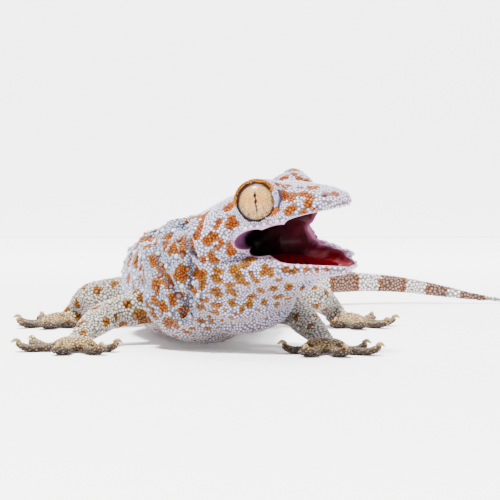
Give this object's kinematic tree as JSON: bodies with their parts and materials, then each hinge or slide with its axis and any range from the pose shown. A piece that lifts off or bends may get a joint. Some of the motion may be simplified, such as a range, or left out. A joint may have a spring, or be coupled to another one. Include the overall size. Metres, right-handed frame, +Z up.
{
  "type": "lizard figure",
  "caption": "Life-size still figure of a spotted lizard: belly on the ground, head raised and turned, mouth open, padded feet spread, tail curved to one side.",
  "frame": {"origin": "on the ground under the middle of the belly", "axes": "+Z up; -Y the way the body faces; +X the animal's left, towards which its head is turned and its tail curves"},
  "size_m": [0.1505, 0.2039, 0.0446],
  "materials": {
    "spotted_skin": "pale blue-grey scaly skin with orange spots",
    "throat_skin": "pale lilac skin with small yellow spots",
    "limb_skin": "cream and olive scaly skin with brown spots",
    "tail_skin": "pale and brown rings",
    "iris": "glossy cream iris with a slit pupil",
    "mouth": "wet dark red lining"
  },
  "bodies": {
    "root": {"head": "spotted_skin", "lower_jaw": "throat_skin", "tongue": "mouth", "eye_right": "iris", "eye_left": "iris", "neck": "spotted_skin", "torso_front": "spotted_skin", "torso_middle": "spotted_skin", "torso_rear": "spotted_skin", "tail_1": "tail_skin", "tail_2": "tail_skin", "tail_3": "tail_skin", "tail_4": "tail_skin", "upper_arm_right": "limb_skin", "forearm_right": "limb_skin", "hand_right": "limb_skin", "thigh_right": "limb_skin", "shin_right": "limb_skin", "foot_right": "limb_skin", "upper_arm_left": "limb_skin", "forearm_left": "limb_skin", "hand_left": "limb_skin", "thigh_left": "limb_skin", "shin_left": "limb_skin", "foot_left": "limb_skin"}
  },
  "joints": []
}
